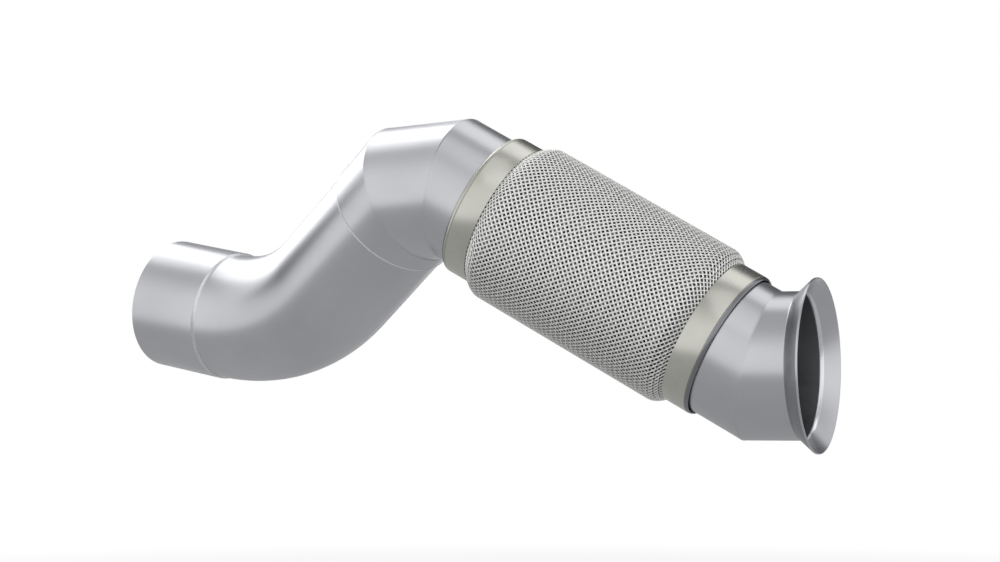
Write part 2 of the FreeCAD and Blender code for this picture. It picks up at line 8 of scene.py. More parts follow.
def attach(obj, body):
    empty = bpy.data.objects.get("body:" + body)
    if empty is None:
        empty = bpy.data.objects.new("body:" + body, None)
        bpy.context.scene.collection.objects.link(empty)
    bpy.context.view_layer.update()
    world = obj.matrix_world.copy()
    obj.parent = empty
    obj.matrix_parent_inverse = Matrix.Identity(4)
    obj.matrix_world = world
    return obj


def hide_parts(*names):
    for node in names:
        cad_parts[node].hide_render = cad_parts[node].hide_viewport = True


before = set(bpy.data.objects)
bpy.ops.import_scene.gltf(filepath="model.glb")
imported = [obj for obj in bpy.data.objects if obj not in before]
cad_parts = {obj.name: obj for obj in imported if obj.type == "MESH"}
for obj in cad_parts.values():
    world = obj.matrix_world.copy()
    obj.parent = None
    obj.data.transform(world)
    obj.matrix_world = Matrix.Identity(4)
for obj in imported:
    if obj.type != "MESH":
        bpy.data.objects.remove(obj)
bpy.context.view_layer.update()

# Exhaust flex pipe: clamped inlet sleeve, bent tube, gored elbow, braided flex section, flared outlet.
# Each straight stretch has a place whose Z axis points downstream, as in the CAD.
# Lengths are millimetres until a piece is finished, which turns them to metres. The stage is in metres.

MM = Matrix.Scale(0.001, 4)
ROUND = 144  # facets of a full turn

# Radii and walls

SLIP_GAP = 0.05
TUBE_WALL = 1.5
OUTLET_STEP = 2.4
OUTLET_WALL = 2.0
COLLAR_RISE = 3.5
COLLAR_WALL = 1.2
FLARE_RISE = 11.5

BEND_R = 60.0
SLEEVE_BORE_R = BEND_R + SLIP_GAP
SLEEVE_R = SLEEVE_BORE_R + TUBE_WALL
OUTLET_R = SLEEVE_R + OUTLET_STEP
OUTLET_BORE_R = OUTLET_R - OUTLET_WALL
COLLAR_R = OUTLET_R + COLLAR_RISE
COLLAR_BORE_R = COLLAR_R - COLLAR_WALL
RIM_R = OUTLET_R + FLARE_RISE

# Route

BEND_TURN = 46.0
BEND_RADIUS = 180.0
BEND_ROLL = 172.4
ELBOW_TURN = 34.5
ELBOW_ROLL = 204.1
OUTLET_TURN = 29.7
INLET_STRAIGHT = 0.4
BEND_STRAIGHT = 104.4
SLEEVE_LENGTH = 77.2
ELBOW_LEG_RUN = 33.2
GORE_RUN = 51.0
FLEX_START = 27.4
FLEX_LENGTH = 261.5
OUTLET_LEG_RUN = 33.1
OUTLET_RUN = 50.0

TANGENT_RUN = BEND_RADIUS * math.tan(math.radians(BEND_TURN) / 2)
INLET_RUN = TANGENT_RUN + INLET_STRAIGHT + SLEEVE_LENGTH
BEND_RUN = TANGENT_RUN + BEND_STRAIGHT + ELBOW_LEG_RUN
FLEX_END = FLEX_START + FLEX_LENGTH
FLEX_RUN = FLEX_END + OUTLET_LEG_RUN

# Overlaps and ends

SLEEVE_OVERLAP = 30.0
ELBOW_OVERLAP = 11.0
WELD_GAP = 1.2
MITRE_SPARE = 35.0  # length past a mitre plane, which the cut takes off
TUBE_ENTRY = 20.0
COLLAR_LENGTH = 26.5
TUBE_IN = FLEX_START + TUBE_ENTRY
TUBE_OUT = FLEX_END - TUBE_ENTRY
BRAID_FROM = FLEX_START + COLLAR_LENGTH
BRAID_TO = FLEX_END - COLLAR_LENGTH
BRAID_LENGTH = BRAID_TO - BRAID_FROM


def onward(place, along, axis, degrees):
    """Place that lies further along another's Z axis and is turned there."""
    turn = Matrix.Rotation(math.radians(degrees), 4, axis)
    return place @ Matrix.Translation((0, 0, along)) @ turn


# Half a turn about the line between X and Z points Z out of the outlet, along X.
OUTLET = Matrix.Rotation(math.pi, 4, Vector((1, 0, 1)))
OUTLET_LEG = onward(OUTLET, -OUTLET_RUN, "Y", -OUTLET_TURN)
FLEX = onward(OUTLET_LEG, -FLEX_RUN, "Z", ELBOW_ROLL)
GORE = onward(FLEX, 0, "Y", -ELBOW_TURN)
ELBOW_LEG = onward(GORE, -GORE_RUN, "Y", -ELBOW_TURN)
BEND = onward(ELBOW_LEG, -BEND_RUN, "Z", BEND_ROLL)
INLET = onward(BEND, 0, "Y", -BEND_TURN)


# Materials. Sizes of patterns are millimetres.

DRAW_LINE = 1.1
TUBE_CLOUD = 62.5
TURNING_LINE = 1.4
RING_CLOUD = 33.0
RIPPLE = 2.4
INNER_CLOUD = 28.5
WIRES = 3  # side by side in one strand

# Scale of a pattern across, across and along the pipe. Below 1, its spots grow longer that way.
EVEN = (1, 1, 1)
CLOUDED = (1, 1, 0.6)
LENGTHWISE = (1, 1, 0.02)
ROUND_THE_RING = (0.02, 0.02, 1)
STREAKED_ALONG = (1, 1, 0.3)

# Most values of a noise texture lie in this span.
NOISE_SPAN = {"From Min": 0.35, "From Max": 0.65}


def noise_scale(size):
    """Scale of a noise texture whose spots are about so many millimetres apart."""
    return 1000 / size


def colour(code):
    """Linear colour of an sRGB hex code."""
    parts = [int(code[i:i + 2], 16) / 255 for i in (1, 3, 5)]
    linear = [p / 12.92 if p <= 0.04045 else ((p + 0.055) / 1.055) ** 2.4 for p in parts]
    return (*linear, 1.0)


def add(tree, kind, settings=None, links=None):
    """Add a node. Settings go to its sockets or properties, links join its inputs to outputs."""
    node = tree.nodes.new("ShaderNode" + kind)
    for name, value in (settings or {}).items():
        if isinstance(name, int) or name in node.inputs:
            node.inputs[name].default_value = value
        else:
            setattr(node, name, value)
    for name, source in (links or {}).items():
        tree.links.new(source, node.inputs[name])
    return node


def new_material(name):
    material = bpy.data.materials.new(name)
    material.use_nodes = True
    material.node_tree.nodes.clear()
    return material, material.node_tree


def along_piece(tree, place, stretch):
    """Object coordinates in a place's own axes, stretched so that a grain runs the right way."""
    coordinates = add(tree, "TexCoord")
    centred = add(tree, "Mapping", {
        "vector_type": "TEXTURE",
        "Location": (MM @ place).to_translation(),
        "Rotation": place.to_euler(),
    }, {"Vector": coordinates.outputs["Object"]})
    return add(tree, "Mapping", {"Scale": stretch}, {"Vector": centred.outputs[0]}).outputs[0]


def drawn_tube(name, place, light="#CDCED2", dark="#C6C7CB", rough=0.29):
    """Drawn stainless tube: a satin skin with faint lengthwise draw lines and soft clouds from handling.

    The draw lines of a real tube are 0.1 mm wide. They are drawn about 1 mm wide, or they would not show.
    """
    material, tree = new_material(name)
    clouded = along_piece(tree, place, CLOUDED)
    lengthwise = along_piece(tree, place, LENGTHWISE)
    clouds = add(tree, "TexNoise", {"Scale": noise_scale(TUBE_CLOUD), "Detail": 3.0}, {"Vector": clouded})
    lines = add(tree, "TexNoise", {"Scale": noise_scale(DRAW_LINE), "Detail": 4.0}, {"Vector": lengthwise})
    tint = add(tree, "MapRange", NOISE_SPAN, {"Value": clouds.outputs[0]})
    base = add(tree, "Mix", {"data_type": "RGBA", 6: colour(light), 7: colour(dark)}, {0: tint.outputs[0]})
    sheen = add(tree, "MapRange", {**NOISE_SPAN, "To Min": rough - 0.01, "To Max": rough + 0.02},
                {"Value": clouds.outputs[0]})
    streak = add(tree, "MapRange", {**NOISE_SPAN, "To Min": -0.003, "To Max": 0.003},
                 {"Value": lines.outputs[0]})
    satin = add(tree, "Math", {"operation": "ADD"}, {0: sheen.outputs[0], 1: streak.outputs[0]})
    bump = add(tree, "Bump", {"Strength": 0.001, "Distance": 0.0002}, {"Height": lines.outputs[0]})
    skin = add(tree, "BsdfPrincipled", {"Metallic": 1.0}, {
        "Base Color": base.outputs[2], "Roughness": satin.outputs[0], "Normal": bump.outputs[0]})
    add(tree, "OutputMaterial", {}, {"Surface": skin.outputs[0]})
    return material


def spun_ring(name, place):
    """Spun nickel-toned steel: warm grey with fine turning lines round the ring.

    Real turning lines are 0.2 mm apart. They are drawn 1.4 mm apart and very faint, or they would flicker.
    """
    material, tree = new_material(name)
    round_ring = along_piece(tree, place, ROUND_THE_RING)
    even = along_piece(tree, place, EVEN)
    turning = add(tree, "TexNoise", {"Scale": noise_scale(TURNING_LINE), "Detail": 2.0},
                  {"Vector": round_ring})
    clouds = add(tree, "TexNoise", {"Scale": noise_scale(RING_CLOUD), "Detail": 3.0}, {"Vector": even})
    tint = add(tree, "MapRange", NOISE_SPAN, {"Value": clouds.outputs[0]})
    base = add(tree, "Mix", {"data_type": "RGBA", 6: colour("#D0D0C8"), 7: colour("#C8C8C0")},
               {0: tint.outputs[0]})
    rough = add(tree, "MapRange", {**NOISE_SPAN, "To Min": 0.265, "To Max": 0.275},
                {"Value": turning.outputs[0]})
    bump = add(tree, "Bump", {"Strength": 0.01, "Distance": 0.0002}, {"Height": turning.outputs[0]})
    skin = add(tree, "BsdfPrincipled", {"Metallic": 1.0}, {
        "Base Color": base.outputs[2], "Roughness": rough.outputs[0], "Normal": bump.outputs[0]})
    add(tree, "OutputMaterial", {}, {"Surface": skin.outputs[0]})
    return material


def drawn_wire(name):
    """Bright drawn stainless wire: wires side by side in a flat strand, painted darker in the grooves between
    as painted shade.
    """
    material, tree = new_material(name)
    place = add(tree, "UVMap", {"uv_map": "lay"})
    across = add(tree, "SeparateXYZ", {}, {0: place.outputs[0]})
    turns = add(tree, "Math", {"operation": "MULTIPLY", 1: WIRES * math.pi}, {0: across.outputs[0]})
    wave = add(tree, "Math", {"operation": "SINE"}, {0: turns.outputs[0]})
    crown = add(tree, "Math", {"operation": "ABSOLUTE"}, {0: wave.outputs[0]})
    groove = add(tree, "MapRange", {"From Max": 0.6}, {"Value": crown.outputs[0]})
    # Painted shade: the base colour is darker in the grooves between the wires than on their crowns.
    base = add(tree, "Mix", {"data_type": "RGBA", 6: colour("#D8D8D6"), 7: colour("#FCFCFA")},
               {0: groove.outputs[0]})
    rough = add(tree, "MapRange", {"To Min": 0.42, "To Max": 0.3}, {"Value": crown.outputs[0]})
    bump = add(tree, "Bump", {"Strength": 0.5, "Distance": 0.0003}, {"Height": crown.outputs[0]})
    skin = add(tree, "BsdfPrincipled", {"Metallic": 1.0}, {
        "Base Color": base.outputs[2], "Roughness": rough.outputs[0], "Normal": bump.outputs[0]})
    add(tree, "OutputMaterial", {}, {"Surface": skin.outputs[0]})
    return material


def weld_bead(name, place, light="#CFD0D4", dark="#C2C3C7", rough=0.27):
    """Brushed weld bead: the steel of the tubes with a ripple 2 to 3 mm long, in light and dark."""
    material, tree = new_material(name)
    even = along_piece(tree, place, EVEN)
    ripple = add(tree, "TexNoise", {"Scale": noise_scale(RIPPLE), "Detail": 3.0}, {"Vector": even})
    tint = add(tree, "MapRange", NOISE_SPAN, {"Value": ripple.outputs[0]})
    base = add(tree, "Mix", {"data_type": "RGBA", 6: colour(dark), 7: colour(light)}, {0: tint.outputs[0]})
    brushed = add(tree, "MapRange", {**NOISE_SPAN, "To Min": rough, "To Max": rough + 0.05},
                  {"Value": ripple.outputs[0]})
    bump = add(tree, "Bump", {"Strength": 0.08, "Distance": 0.0005}, {"Height": ripple.outputs[0]})
    skin = add(tree, "BsdfPrincipled", {"Metallic": 1.0}, {
        "Base Color": base.outputs[2], "Roughness": brushed.outputs[0], "Normal": bump.outputs[0]})
    add(tree, "OutputMaterial", {}, {"Surface": skin.outputs[0]})
    return material


def painted_shade_steel(name, place, light, dark, stretch):
    """Steel inside the pipe, painted darker than the outside as painted shade, in clouds."""
    material, tree = new_material(name)
    stretched = along_piece(tree, place, stretch)
    clouds = add(tree, "TexNoise", {"Scale": noise_scale(INNER_CLOUD), "Detail": 3.0}, {"Vector": stretched})
    tint = add(tree, "MapRange", NOISE_SPAN, {"Value": clouds.outputs[0]})
    base = add(tree, "Mix", {"data_type": "RGBA", 6: colour(light), 7: colour(dark)}, {0: tint.outputs[0]})
    rough = add(tree, "MapRange", {**NOISE_SPAN, "To Min": 0.4, "To Max": 0.5}, {"Value": clouds.outputs[0]})
    skin = add(tree, "BsdfPrincipled", {"Metallic": 1.0}, {
        "Base Color": base.outputs[2], "Roughness": rough.outputs[0]})
    add(tree, "OutputMaterial", {}, {"Surface": skin.outputs[0]})
    return material


def rolled_strip(name, place, light="#5F5E60", dark="#4D4C4E"):
    """Thin strip that the inner pieces are rolled and wound from, painted dark as painted shade."""
    return painted_shade_steel(name, place, light, dark, EVEN)


def bore_skin(name, place):
    """Inside wall of a tube, painted darker than the outside as painted shade, with its clouds drawn out
    along the gas.
    """
    return painted_shade_steel(name, place, "#A2A3A7", "#939498", STREAKED_ALONG)


# Making pieces

CREASE = 30
SOFT_CREASE = 60

# Place of each skin in its piece's list
BORE_SKIN = 1
LIP_SKIN = 1
CONE_SKIN = 2
THROAT_SKIN = 3


def link(mesh):
    piece = bpy.data.objects.new(mesh.name, mesh)
    bpy.context.scene.collection.objects.link(piece)
    return piece


def finish_piece(name, form, place, materials, node, crease=CREASE):
    """Make the object that stands for a CAD node. Edges sharper than the crease angle stay sharp."""
    bmesh.ops.transform(form, matrix=MM @ place, verts=form.verts)
    bmesh.ops.recalc_face_normals(form, faces=form.faces)
    for face in form.faces:
        face.smooth = True
    mesh = bpy.data.meshes.new(name)
    form.to_mesh(mesh)
    form.free()
    mesh.set_sharp_from_angle(angle=math.radians(crease))
    for material in materials:
        mesh.materials.append(material)
    piece = link(mesh)
    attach(piece, "root")
    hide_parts(node)


def verts_of(geom):
    return [item for item in geom if isinstance(item, bmesh.types.BMVert)]


def edges_of(geom):
    return [item for item in geom if isinstance(item, bmesh.types.BMEdge)]


def from_axis(point):
    return math.hypot(point.x, point.y)


def outline_ring(form, corners):
    """Closed outline of (across, along) corners, spun once round the Z axis into a ring."""
    verts = [form.verts.new((across, 0, along)) for across, along in corners]
    edges = [form.edges.new((verts[i - 1], verts[i])) for i in range(len(verts))]
    bmesh.ops.spin(form, geom=verts + edges, cent=(0, 0, 0), axis=(0, 0, 1),
                   angle=math.tau, steps=ROUND, use_merge=True)
    bmesh.ops.remove_doubles(form, verts=form.verts, dist=1e-4)


def eased(bore, outer, start, end, ease=0.3):
    """Outline of a tube wall with its four edges eased, as a deburred cut leaves them."""
    return [
        (bore + ease, start), (outer - ease, start), (outer, start + ease), (outer, end - ease),
        (outer - ease, end), (bore + ease, end), (bore, end - ease), (bore, start + ease),
    ]


def arc(centre, radius, start, end, steps):
    """Points of an arc from angle start to end, in (across, along)."""
    angles = [start + (end - start) * i / steps for i in range(steps + 1)]
    return [(centre[0] + radius * math.cos(a), centre[1] + radius * math.sin(a)) for a in angles]


def mitre(form, at, turn, keep_upstream):
    """Cut a tube through (0, 0, at) with a plane tilted by half the elbow's turn, and close its wall."""
    half = math.radians(turn) / 2
    side = -1 if keep_upstream else 1
    normal = Vector((-side * math.sin(half), 0, math.cos(half)))
    point = Vector((0, 0, at)) + normal * side * WELD_GAP / 2
    cut = bmesh.ops.bisect_plane(form, geom=form.verts[:] + form.edges[:] + form.faces[:], dist=1e-4,
                                 plane_co=point, plane_no=normal,
                                 clear_outer=keep_upstream, clear_inner=not keep_upstream)
    bmesh.ops.bridge_loops(form, edges=edges_of(cut["geom_cut"]))


# Tubes

BORE_EDGE = 0.2  # faces this close to the bore, with its eased edges, belong to it


def make_straight(name, place, bore, outer, start, end, material, cuts=()):
    """Straight tube from start to end along its place, with its mitre cuts."""
    form = bmesh.new()
    outline_ring(form, eased(bore, outer, start, end))
    for at, turn, keep_upstream in cuts:
        mitre(form, at, turn, keep_upstream)
    for face in form.faces:
        if from_axis(face.calc_center_median()) < bore + BORE_EDGE:
            face.material_index = BORE_SKIN
    skins = [material, bore_skin(name + "_bore", place)]
    finish_piece(name + "_shell", form, place, skins, name)


def make_tubes():
    inlet = drawn_tube("drawn_stainless_inlet", INLET)
    make_straight("inlet_sleeve", INLET, SLEEVE_BORE_R, SLEEVE_R, -INLET_RUN,
                  -INLET_RUN + SLEEVE_LENGTH, inlet)
    leg = drawn_tube("drawn_stainless_elbow_leg", ELBOW_LEG)
    make_straight("elbow_lower_leg", ELBOW_LEG, SLEEVE_BORE_R, SLEEVE_R, -ELBOW_LEG_RUN, MITRE_SPARE,
                  leg, [(0, ELBOW_TURN, True)])
    gore = drawn_tube("drawn_stainless_gore", GORE)
    make_straight("elbow_gore", GORE, SLEEVE_BORE_R, SLEEVE_R, -GORE_RUN - MITRE_SPARE, MITRE_SPARE,
                  gore, [(0, ELBOW_TURN, True), (-GORE_RUN, ELBOW_TURN, False)])
    upper = drawn_tube("drawn_stainless_elbow_upper", FLEX)
    make_straight("elbow_upper_leg", FLEX, SLEEVE_BORE_R, SLEEVE_R, -MITRE_SPARE, TUBE_IN,
                  upper, [(0, ELBOW_TURN, False)])
    outlet = drawn_tube("drawn_stainless_outlet_leg", OUTLET_LEG)
    make_straight("outlet_leg", OUTLET_LEG, OUTLET_BORE_R, OUTLET_R, TUBE_OUT - FLEX_RUN, MITRE_SPARE,
                  outlet, [(0, OUTLET_TURN, True)])


def make_bend():
    """Bent tube: two circles carried along the straight, the bend and the second straight."""
    form = bmesh.new()
    start = BEND_RUN - ELBOW_LEG_RUN + ELBOW_OVERLAP
    for radius in (BEND_R, BEND_R - TUBE_WALL):
        circle = bmesh.ops.create_circle(form, segments=ROUND, radius=radius)["verts"]
        bmesh.ops.translate(form, verts=circle, vec=(0, 0, start))
    first = list(form.edges)
    straight = bmesh.ops.extrude_edge_only(form, edges=first)["geom"]
    verts = verts_of(straight)
    bmesh.ops.translate(form, verts=verts, vec=(0, 0, TANGENT_RUN - start))
    turn = math.radians(BEND_TURN)
    turned = bmesh.ops.spin(form, geom=verts + edges_of(straight), cent=(BEND_RADIUS, 0, TANGENT_RUN),
                            axis=(0, -1, 0), angle=turn, steps=40)["geom_last"]
    tail = bmesh.ops.extrude_edge_only(form, edges=edges_of(turned))["geom"]
    run = INLET_RUN - SLEEVE_LENGTH + SLEEVE_OVERLAP - TANGENT_RUN
    bmesh.ops.translate(form, verts=verts_of(tail), vec=(run * math.sin(turn), 0, -run * math.cos(turn)))
    last = edges_of(tail)
    bmesh.ops.bridge_loops(form, edges=first)
    bmesh.ops.bridge_loops(form, edges=last)
    skins = [drawn_tube("drawn_stainless_bend", BEND)]
    finish_piece("bend_tube_shell", form, BEND, skins, "bend_tube")


# Flared outlet

FLARE_ANGLE = math.radians(42.0)
FLARE_BEND = 4.0
RIM_LAND = 1.0
FLARE_STEPS = 10
FACES_BACK = -0.35  # Z of a normal that looks back along the tube, which only the cone's outside has


def make_flare():
    """Outlet tube that turns out over a small radius to a cone and ends in a flat land.

    The cone's outside is painted darker as painted shade, and the small inner radius at the throat is painted
    near white as a painted highlight.
    """
    land_r = RIM_R - RIM_LAND
    inside = FLARE_BEND + OUTLET_WALL
    centre_r = OUTLET_R + FLARE_BEND
    cone_in_r = centre_r - inside * math.cos(FLARE_ANGLE)
    cone_out_r = centre_r - FLARE_BEND * math.cos(FLARE_ANGLE)
    cone_in_start = -(land_r - cone_in_r) / math.tan(FLARE_ANGLE)
    throat = cone_in_start - inside * math.sin(FLARE_ANGLE)
    cone_out_start = throat + FLARE_BEND * math.sin(FLARE_ANGLE)
    rim_back = cone_out_start + (RIM_R - cone_out_r) / math.tan(FLARE_ANGLE)
    mitre_end = -OUTLET_RUN - MITRE_SPARE

    corners = [(OUTLET_BORE_R, mitre_end), (OUTLET_R, mitre_end)]
    corners += arc((centre_r, throat), FLARE_BEND, math.pi, math.pi - FLARE_ANGLE, FLARE_STEPS)
    # The rim's back and front corners and the land's inner corner are eased by up to 0.25 mm.
    corners += [(RIM_R - 0.15, rim_back - 0.1), (RIM_R, rim_back + 0.2), (RIM_R, -0.25), (RIM_R - 0.25, 0)]
    corners += [(land_r + 0.1, 0), (land_r - 0.1, -0.15)]
    corners += arc((centre_r, throat), inside, math.pi - FLARE_ANGLE, math.pi, FLARE_STEPS)

    form = bmesh.new()
    outline_ring(form, corners)
    mitre(form, -OUTLET_RUN, OUTLET_TURN, False)
    bmesh.ops.recalc_face_normals(form, faces=form.faces)
    for face in form.faces:
        middle = face.calc_center_median()
        across = from_axis(middle)
        if across < OUTLET_BORE_R + BORE_EDGE and middle.z < throat:
            face.material_index = BORE_SKIN
        elif across < cone_in_r and middle.z < cone_in_start:
            face.material_index = THROAT_SKIN
        elif across > OUTLET_R and middle.z > throat and face.normal.z < FACES_BACK:
            face.material_index = CONE_SKIN
    # The cone's outside gets a darker copy of the tube's steel as painted shade, the throat's radius a
    # near-white copy as a painted highlight.
    skins = [drawn_tube("drawn_stainless_flare", OUTLET), bore_skin("flare_bore", OUTLET),
             drawn_tube("painted_shade_cone", OUTLET, "#9A9B9F", "#929397", 0.28),
             drawn_tube("painted_highlight_throat", OUTLET, "#ECEDF0", "#E4E5E8", 0.24)]
    finish_piece("outlet_flare_shell", form, OUTLET, skins, "outlet_flare_tube")


# Collars

LIP_GAP = 1.3
LIP_STEPS = 14
LIP_FROM = 0.15  # distance past the start of the curl where the lip's painted shade begins
EDGE_ROUND = 0.5
EDGE_MIDDLE = 0.15
GROOVE_DEPTH = 0.5
GROOVE_SIDE = 0.5
GROOVE_FLOOR = 0.1


def make_collar(name, tube_r, inner_edge, lip, facing, lip_angle, lip_shade_tones):
    """End ring that holds the braid, with a turned groove and a lip that curls in towards the tube.

    It runs from inner_edge to lip, and facing is the way from one to the other, 1 or -1.
    """
    curl = math.radians(lip_angle)
    inside = (COLLAR_BORE_R - tube_r - LIP_GAP) / (1 - math.cos(curl))
    outside = inside + COLLAR_WALL
    curl_from = lip - facing * outside * math.sin(curl)
    centre = (COLLAR_R - outside, curl_from)
    corners = [
        (COLLAR_R - EDGE_ROUND, inner_edge),
        (COLLAR_R - EDGE_MIDDLE, inner_edge + facing * EDGE_MIDDLE),
        (COLLAR_R, inner_edge + facing * EDGE_ROUND),
        (COLLAR_R, curl_from - facing * GROOVE_SIDE),
        (COLLAR_R - GROOVE_DEPTH, curl_from - facing * GROOVE_FLOOR),
        (COLLAR_R - GROOVE_DEPTH, curl_from + facing * GROOVE_FLOOR),
    ]
    corners += arc(centre, outside, 0, facing * curl, LIP_STEPS)[1:]
    corners += arc(centre, inside, facing * curl, 0, LIP_STEPS)
    corners += [(COLLAR_BORE_R, inner_edge)]
    form = bmesh.new()
    outline_ring(form, corners)
    for face in form.faces:
        if (face.calc_center_median().z - curl_from) * facing > LIP_FROM:
            face.material_index = LIP_SKIN
    # The lip is a copy of the tube's steel painted darker as painted shade, much darker on the lower collar.
    skins = [spun_ring("spun_steel_" + name, FLEX), drawn_tube("painted_shade_lip_" + name, FLEX, *lip_shade_tones)]
    finish_piece(name + "_ring", form, FLEX, skins, name)


# Weld beads

BUTT_CROWN = 0.02
BUTT_CROWN_HALF = 0.2
BUTT_TOE_DROP = 0.01
BUTT_TOE_HALF = 0.62
LAP_REACH = 3.0
LAP_HOLLOW = 2.2
LAP_STEPS = 8


def make_mitre_bead(name, place, outer, wall, turn):
    """Dressed butt weld in a mitre plane, hardly proud of the tubes."""
    bore = outer - wall
    root_half = WELD_GAP / 2
    form = bmesh.new()
    outline_ring(form, [
        (bore, -root_half), (outer - BUTT_TOE_DROP, -BUTT_TOE_HALF), (outer + BUTT_CROWN, -BUTT_CROWN_HALF),
        (outer + BUTT_CROWN, BUTT_CROWN_HALF), (outer - BUTT_TOE_DROP, BUTT_TOE_HALF), (bore, root_half),
    ])
    stretch = Matrix.Diagonal((1 / math.cos(math.radians(turn) / 2), 1, 1, 1))
    bmesh.ops.transform(form, matrix=stretch, verts=form.verts)
    finish_piece(name + "_bead", form, place, [drawn_tube("dressed_" + name, place)], name)


def make_lap_bead(name, place, corner, side, tones):
    """Fillet weld that runs down from the sleeve's end to the bent tube in a hollow curve."""
    rise = SLEEVE_R - SLEEVE_BORE_R
    shares = [i / LAP_STEPS for i in range(LAP_STEPS + 1)]
    curve = [(SLEEVE_BORE_R + rise * (1 - t) ** LAP_HOLLOW, corner + side * LAP_REACH * t) for t in shares]
    form = bmesh.new()
    outline_ring(form, [(SLEEVE_BORE_R, corner)] + curve)
    # The bead's tones are painted lighter than the tubes' steel, as a painted highlight along the weld.
    skins = [weld_bead("painted_highlight_bead_" + name, place, *tones)]
    finish_piece(name + "_bead", form, place, skins, name, SOFT_CREASE)


def make_beads():
    first = onward(GORE, -GORE_RUN, "Y", -ELBOW_TURN / 2)
    second = onward(FLEX, 0, "Y", -ELBOW_TURN / 2)
    third = onward(OUTLET, -OUTLET_RUN, "Y", -OUTLET_TURN / 2)
    make_mitre_bead("first_mitre_weld", first, SLEEVE_R, TUBE_WALL, ELBOW_TURN)
    make_mitre_bead("second_mitre_weld", second, SLEEVE_R, TUBE_WALL, ELBOW_TURN)
    make_mitre_bead("third_mitre_weld", third, OUTLET_R, OUTLET_WALL, OUTLET_TURN)
    # Both lap beads are painted light as a painted highlight, the elbow's almost white.
    make_lap_bead("inlet_lap_weld", INLET, SLEEVE_LENGTH - INLET_RUN, 1, ("#E6E7EA", "#DADBDE", 0.36))
    make_lap_bead("elbow_lap_weld", ELBOW_LEG, -ELBOW_LEG_RUN, -1, ("#FAFBFD", "#F0F1F4", 0.5))


# Braid: flat strands at 45 degrees to the axis, each over one and under the next

STRANDS = 90  # of each hand
STRAND_WIDTH = 1.7
STRAND_THICK = 0.8
STRAND_LIFT = STRAND_THICK * 0.58  # a little over half, so that crossing strands clear each other
SECTION_SIDES = 6
SECTION_FILL = 1.15  # a six-sided section is this much thinner than its circle
SQUEEZE = 0.3
FLAT_END = 2.0  # length over which the weave flattens out at a collar
WEAVE_R = COLLAR_R + 6.75
WEAVE_END_R = COLLAR_BORE_R - 0.5
UNDER_COLLAR = 2.5  # reach of the strands below a collar
SHOULDER = 14.0
SLOPE_STEP = 0.05
HALF_CROSSING = math.pi / STRANDS / 2


def from_collar(along):
    """Distance to the nearer collar's edge, negative below a collar."""
    return min(along, BRAID_LENGTH - along)


def share(value):
    """A value held between 0 and 1."""
    return min(1.0, max(0.0, value))


def weave_radius(along):
    """Middle radius of the weave at a distance from the upper collar's edge."""
    near = share(from_collar(along) / SHOULDER)
    return WEAVE_END_R + (WEAVE_R - WEAVE_END_R) * math.sin(near * math.pi / 2)


def strand_width(along):
    """Width of a strand, which the collars press narrower at the ends."""
    pressed = 1 - share(from_collar(along) / SHOULDER)
    return STRAND_WIDTH * (1 - SQUEEZE * pressed)


def braid_rows():
    """Distance along the axis of each half crossing, where a strand runs at 45 degrees on the surface."""
    middle = BRAID_LENGTH / 2
    rows = []
    along = middle
    while along > -UNDER_COLLAR:
        rows.append(along)
        radius = weave_radius(along)
        slope = (radius - weave_radius(along - SLOPE_STEP)) / SLOPE_STEP
        along -= radius * HALF_CROSSING / math.hypot(1, slope)
    upper = rows[:0:-1]
    return upper + [middle] + [2 * middle - row for row in reversed(upper)]


def strand_route(rows, hand):
    """Middle of a strand at each row, and the way out of the braid there."""
    route = []
    for row, along in enumerate(rows):
        from_middle = row - len(rows) // 2
        turn = hand * from_middle * HALF_CROSSING
        wave = hand * math.cos(math.pi / 2 * from_middle)
        radius = weave_radius(along) + STRAND_LIFT * wave * share(from_collar(along) / FLAT_END)
        out = Vector((math.cos(turn), math.sin(turn), 0))
        route.append((out * radius + Vector((0, 0, BRAID_FROM + along)), out))
    return route


def make_strand(form, rows, hand):
    """Carry a flat section along a strand's route. Returns its rings and where each corner lies in them."""
    ring = bmesh.ops.create_circle(form, segments=SECTION_SIDES, radius=1.0)["verts"]
    section = [vert.co.copy() for vert in ring]
    edges = list(form.edges)
    route = strand_route(rows, hand)
    rings = []
    for row, along in enumerate(rows):
        if row:
            grown = bmesh.ops.extrude_edge_only(form, edges=edges)["geom"]
            ring = verts_of(grown)
            edges = edges_of(grown)
        here, out = route[row]
        before = route[max(0, row - 1)][0]
        after = route[min(len(rows) - 1, row + 1)][0]
        run = (after - before).normalized()
        out = (out - run * out.dot(run)).normalized()
        across = run.cross(out) * strand_width(along) / 2
        up = out * STRAND_THICK / 2 * SECTION_FILL
        for vert, corner in zip(ring, section):
            vert.co = here + across * corner.x + up * corner.y
        rings.append(ring)
    bmesh.ops.contextual_create(form, geom=rings[0])
    bmesh.ops.contextual_create(form, geom=rings[-1])
    bmesh.ops.recalc_face_normals(form, faces=form.faces)
    return rings, section


def lay_wires(form, rings, section):
    """UV map across and along a strand, for the grooves between its wires."""
    lay = form.loops.layers.uv.new("lay")
    spots = {}
    for row, ring in enumerate(rings):
        for vert, corner in zip(ring, section):
            spots[vert] = (0.5 + 0.5 * corner.x, row * 0.5)
    for face in form.faces:
        for loop in face.loops:
            loop[lay].uv = spots[loop.vert]


def make_braid_half(name, hand, wire):
    """All strands that wind one way: hand is 1 or -1."""
    form = bmesh.new()
    rings, section = make_strand(form, braid_rows(), hand)
    lay_wires(form, rings, section)
    bmesh.ops.spin(form, geom=form.verts[:] + form.edges[:] + form.faces[:], cent=(0, 0, 0),
                   axis=(0, 0, 1), angle=math.tau * (STRANDS - 1) / STRANDS, steps=STRANDS - 1,
                   use_duplicate=True)
    finish_piece(name, form, FLEX, [wire], "braid_sleeve", SOFT_CREASE)


